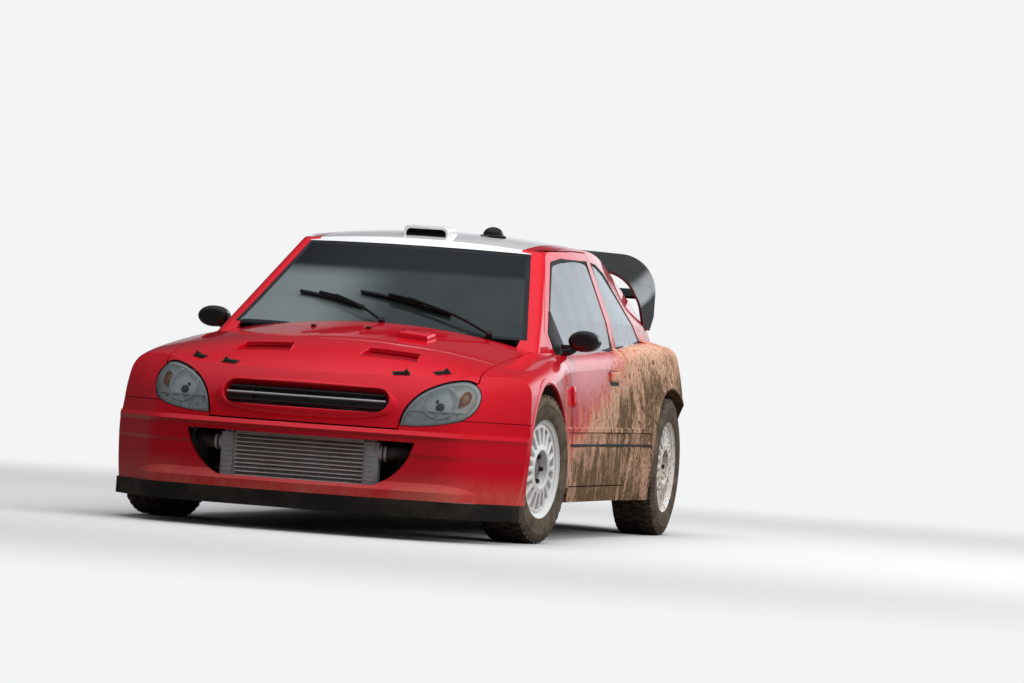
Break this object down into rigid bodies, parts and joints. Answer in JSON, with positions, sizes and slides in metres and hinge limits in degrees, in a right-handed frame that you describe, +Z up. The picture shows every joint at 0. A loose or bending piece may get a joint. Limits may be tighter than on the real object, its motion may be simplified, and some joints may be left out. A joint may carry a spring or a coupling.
{
  "type": "rally car",
  "caption": "Red three-door rally hatchback with white roof, rear wing, hood vents, wide arches, roll cage and opening doors, hood and tailgate.",
  "frame": {"origin": "centre of the car's footprint on the ground, below the middle of its bounding box", "axes": "+X to the car's left, +Y to the rear, +Z up; the car faces -Y"},
  "size_m": [1.8194, 4.1693, 1.334],
  "materials": {
    "body_paint": "gloss red",
    "roof_paint": "gloss white",
    "skirt_plastic": "matt, dusty",
    "grille_chrome": "polished",
    "cooler_metal": "bare fins",
    "lamp_glass": "clear",
    "tail_glass": "clear red",
    "window_glass": "tinted",
    "side_glass": "tinted",
    "mirror_shell": "gloss black",
    "wing_gloss": "gloss black weave",
    "dome_plastic": "gloss black",
    "floor_metal": "satin grey",
    "guard_metal": "scuffed",
    "engine_metal": "as cast",
    "exhaust_steel": "heat tinted",
    "dash_plastic": "matt black",
    "seat_shell": "woven black",
    "wheel_leather": "suede",
    "cage_steel": "satin white",
    "suspension_steel": "satin",
    "knuckle_iron": "machined",
    "rim_paint": "gloss white",
    "tyre_rubber": "matt, dusty"
  },
  "bodies": {
    "car": {"front_fenders": "body_paint", "front_bumper": "body_paint", "front_skirt": "skirt_plastic", "cowl_panel": "body_paint", "side_frames": "body_paint", "roof_panel": "roof_paint", "rear_bumper": "body_paint", "intercooler": "cooler_metal", "headlamps": "lamp_glass", "tail_lamps": "tail_glass", "windscreen": "window_glass", "quarter_windows": "side_glass", "hinge_pillars": "body_paint", "roof_vent": "roof_paint", "roof_dome": "dome_plastic", "floor_pan": "floor_metal", "sump_guard": "guard_metal", "engine_block": "engine_metal", "exhaust": "exhaust_steel", "dashboard": "dash_plastic", "seats": "seat_shell", "steering_wheel": "wheel_leather", "roll_cage": "cage_steel", "front_suspension": "suspension_steel", "rear_suspension": "suspension_steel"},
    "door_left": {"door_left": "body_paint", "door_window_left": "side_glass", "mirror_left": "mirror_shell"},
    "door_right": {"door_right": "body_paint", "door_window_right": "side_glass", "mirror_right": "mirror_shell"},
    "hood": {"hood": "body_paint", "grille": "grille_chrome"},
    "tailgate": {"tailgate": "body_paint", "rear_glass": "side_glass", "rear_wing": "wing_gloss"},
    "knuckle_left": {"knuckle_front_left": "knuckle_iron"},
    "knuckle_right": {"knuckle_front_right": "knuckle_iron"},
    "wheel_front_left": {"rim_front_left": "rim_paint", "tyre_front_left": "tyre_rubber"},
    "wheel_front_right": {"rim_front_right": "rim_paint", "tyre_front_right": "tyre_rubber"},
    "wheel_rear_left": {"rim_rear_left": "rim_paint", "tyre_rear_left": "tyre_rubber"},
    "wheel_rear_right": {"rim_rear_right": "rim_paint", "tyre_rear_right": "tyre_rubber"}
  },
  "joints": [
    {"name": "steer_left", "type": "hinge", "parent": "car", "child": "knuckle_left", "pos_m": [0.715, -1.24, 0.314], "axis": [0, 0, 1], "range_deg": [-19, 35]},
    {"name": "steer_right", "type": "hinge", "parent": "car", "child": "knuckle_right", "pos_m": [-0.715, -1.24, 0.314], "axis": [0, 0, 1], "range_deg": [-19, 35]},
    {"name": "spin_front_left", "type": "hinge", "parent": "knuckle_left", "child": "wheel_front_left", "pos_m": [0.77145, -1.24793, 0.314], "axis": [0.9903, -0.1392, 0], "continuous": true},
    {"name": "spin_front_right", "type": "hinge", "parent": "knuckle_right", "child": "wheel_front_right", "pos_m": [-0.77145, -1.23207, 0.314], "axis": [0.9903, -0.1392, 0], "continuous": true},
    {"name": "spin_rear_left", "type": "hinge", "parent": "car", "child": "wheel_rear_left", "pos_m": [0.772, 1.315, 0.314], "axis": [1, 0, 0], "continuous": true},
    {"name": "spin_rear_right", "type": "hinge", "parent": "car", "child": "wheel_rear_right", "pos_m": [-0.772, 1.315, 0.314], "axis": [1, 0, 0], "continuous": true},
    {"name": "door_left", "type": "hinge", "parent": "car", "child": "door_left", "pos_m": [0.822, -0.552, 0.45], "axis": [0, 0, -1], "range_deg": [0, 62]},
    {"name": "door_right", "type": "hinge", "parent": "car", "child": "door_right", "pos_m": [-0.822, -0.552, 0.45], "axis": [0, 0, 1], "range_deg": [0, 62]},
    {"name": "hood", "type": "hinge", "parent": "car", "child": "hood", "pos_m": [0, -0.905, 0.868], "axis": [-1, 0, 0], "range_deg": [0, 55]},
    {"name": "tailgate", "type": "hinge", "parent": "car", "child": "tailgate", "pos_m": [0, 1.16, 1.272], "axis": [1, 0, 0], "range_deg": [0, 70]}
  ],
  "couplings": [
    {"joint": "steer_right", "follows": "steer_left", "ratio": 1}
  ]
}
